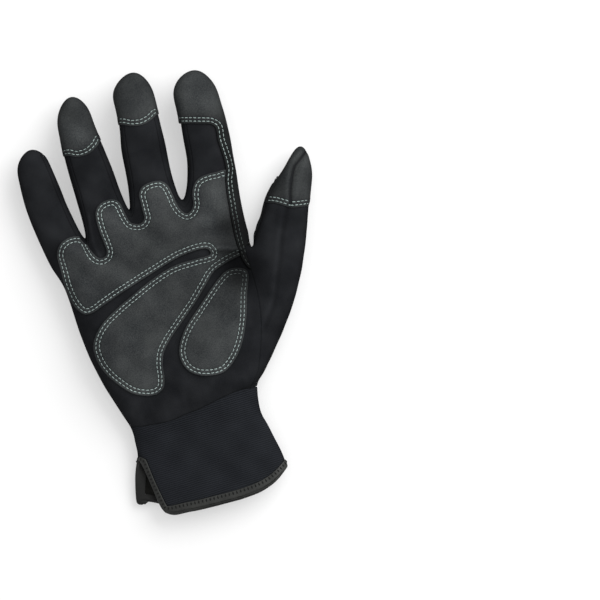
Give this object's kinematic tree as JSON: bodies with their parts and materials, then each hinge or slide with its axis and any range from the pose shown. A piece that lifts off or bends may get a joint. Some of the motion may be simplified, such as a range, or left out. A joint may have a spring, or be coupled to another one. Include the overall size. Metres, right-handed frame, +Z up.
{
  "type": "mechanic glove",
  "caption": "Right-hand mechanic's work glove lying palm up: suede palm with stitched pads, knit back, capped fingertips, gathered wrist and a bound open cuff with a side slit.",
  "frame": {"origin": "on the ground under the middle of the glove's footprint", "axes": "+X towards the thumb's side, +Y towards the fingertips, +Z up out of the palm"},
  "size_m": [0.1614, 0.2468, 0.027],
  "materials": {
    "palm_suede": "fine synthetic suede, matt black",
    "back_knit": "stretch knit with fine ribs, bluish black",
    "side_fabric": "smooth stretch fabric, black",
    "pad_suede": "dark grey synthetic suede with double rows of pale stitches",
    "binding": "soft dark olive-black leatherette tape, stitched",
    "label": "bare dark grey moulded patch, satin"
  },
  "bodies": {
    "root": {"palm_panel": "palm_suede", "back_panel": "back_knit", "fourchette_little_ring": "side_fabric", "fourchette_ring_middle": "side_fabric", "fourchette_middle_index": "side_fabric", "thumb_panel": "palm_suede", "thumb_back": "back_knit", "cuff_panel": "back_knit", "cuff_binding": "binding", "palm_pad": "pad_suede", "heel_pad": "pad_suede", "ring_tip": "pad_suede", "middle_tip": "pad_suede", "index_guard": "pad_suede", "thumb_tip": "pad_suede", "thumb_crotch_patch": "pad_suede", "label_patch": "label"}
  },
  "joints": []
}
